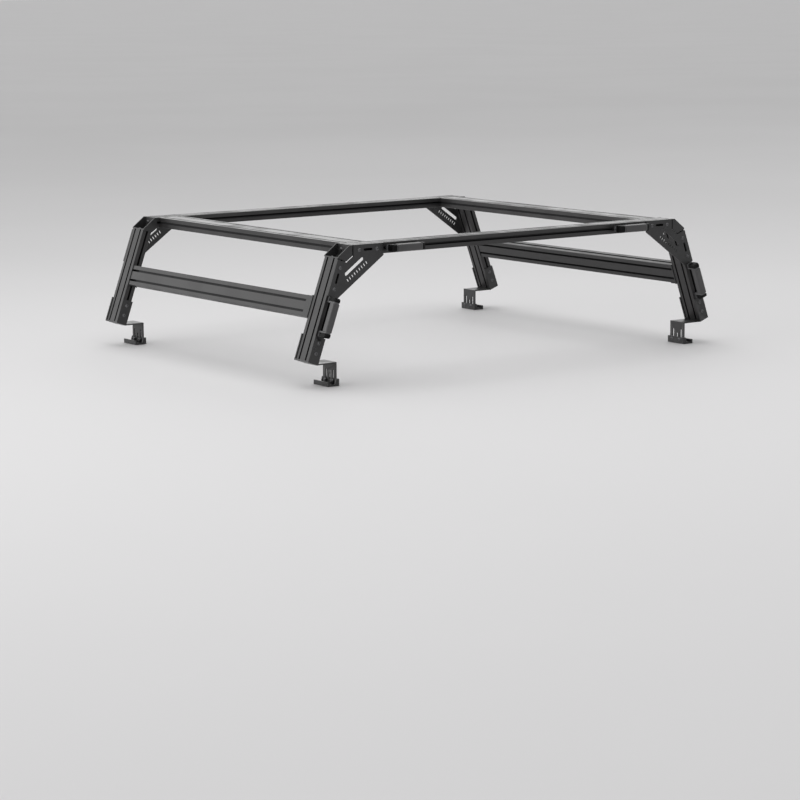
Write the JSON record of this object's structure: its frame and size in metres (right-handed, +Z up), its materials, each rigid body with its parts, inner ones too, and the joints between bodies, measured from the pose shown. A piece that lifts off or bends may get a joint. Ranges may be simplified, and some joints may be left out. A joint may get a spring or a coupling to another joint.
{
  "type": "ladder rack",
  "caption": "Low ladder rack for a pickup bed: two hoops of slotted black aluminium profile with leaning legs, flat top rails, sliding side rails, gussets, grab handles and clamped feet.",
  "frame": {"origin": "below the middle of the rack, on the plane the four clamp jaws touch when it stands by itself", "axes": "+X to the right of the vehicle, +Y towards the cab, +Z up; the bed rail tops lie at Z = 78.4 mm"},
  "size_m": [1.8684, 1.4279, 0.4844],
  "materials": {
    "profile": "satin black anodised, drawn lengthways",
    "cover_strip": "fine matte, charcoal",
    "bracket": "satin black powder coat, fine grain",
    "handle_arm": "satin grey powder coat",
    "grip": "grey anodised, fine brushed",
    "cap": "black moulded",
    "fastener": "black zinc, worn to grey on the edges"
  },
  "bodies": {
    "frame": {"crossbar_rear": "profile", "crossbar_front": "profile", "top_rail_left": "profile", "top_rail_right": "profile", "leg_rear_left": "profile", "leg_rear_right": "profile", "leg_front_left": "profile", "leg_front_right": "profile", "corner_bracket_rear_left": "bracket", "corner_bracket_rear_right": "bracket", "corner_bracket_front_left": "bracket", "corner_bracket_front_right": "bracket", "gusset_rear_left": "bracket", "gusset_rear_right": "bracket", "gusset_front_left": "bracket", "gusset_front_right": "bracket", "foot_rear_left": "bracket", "foot_rear_right": "bracket", "foot_front_left": "bracket", "foot_front_right": "bracket", "handle_arms_crossbar_left": "handle_arm", "handle_arms_crossbar_right": "handle_arm", "handle_arms_leg_left": "handle_arm", "handle_arms_leg_right": "handle_arm", "handle_caps_crossbar_left": "cap", "handle_caps_crossbar_right": "cap", "handle_caps_leg_left": "cap", "handle_caps_leg_right": "cap", "handle_grip_crossbar_left": "grip", "handle_grip_crossbar_right": "grip", "handle_grip_leg_left": "grip", "handle_grip_leg_right": "grip", "handle_bolts": "fastener", "handle_slot_nuts": "fastener", "gusset_bolts": "fastener", "gusset_slot_nuts": "fastener", "foot_bolts": "fastener", "foot_slot_nuts": "fastener", "corner_screws": "fastener", "top_rail_screws": "fastener", "crossbar_covers": "cover_strip", "top_rail_covers": "cover_strip"},
    "side_rail_left": {"side_rail_left": "profile", "side_rail_ends_left": "bracket", "side_rail_covers_left": "cover_strip", "side_rail_fasteners_left": "fastener"},
    "side_rail_right": {"side_rail_right": "profile", "side_rail_ends_right": "bracket", "side_rail_covers_right": "cover_strip", "side_rail_fasteners_right": "fastener"},
    "clamp_rear_left": {"jaw_rear_left": "bracket", "jaw_bolts_rear_left": "fastener"},
    "clamp_rear_right": {"jaw_rear_right": "bracket", "jaw_bolts_rear_right": "fastener"},
    "clamp_front_left": {"jaw_front_left": "bracket", "jaw_bolts_front_left": "fastener"},
    "clamp_front_right": {"jaw_front_right": "bracket", "jaw_bolts_front_right": "fastener"}
  },
  "joints": [
    {"name": "side_rail_left_slide", "type": "slide", "parent": "frame", "child": "side_rail_left", "axis": [0.342, 0, 0.9397], "range_m": [-0.03, 0.1]},
    {"name": "side_rail_right_slide", "type": "slide", "parent": "frame", "child": "side_rail_right", "axis": [-0.342, 0, 0.9397], "range_m": [-0.03, 0.1]},
    {"name": "clamp_rear_left_slide", "type": "slide", "parent": "frame", "child": "clamp_rear_left", "axis": [0, 0, 1], "range_m": [0, 0.036]},
    {"name": "clamp_rear_right_slide", "type": "slide", "parent": "frame", "child": "clamp_rear_right", "axis": [0, 0, 1], "range_m": [0, 0.036]},
    {"name": "clamp_front_left_slide", "type": "slide", "parent": "frame", "child": "clamp_front_left", "axis": [0, 0, 1], "range_m": [0, 0.036]},
    {"name": "clamp_front_right_slide", "type": "slide", "parent": "frame", "child": "clamp_front_right", "axis": [0, 0, 1], "range_m": [0, 0.036]}
  ]
}
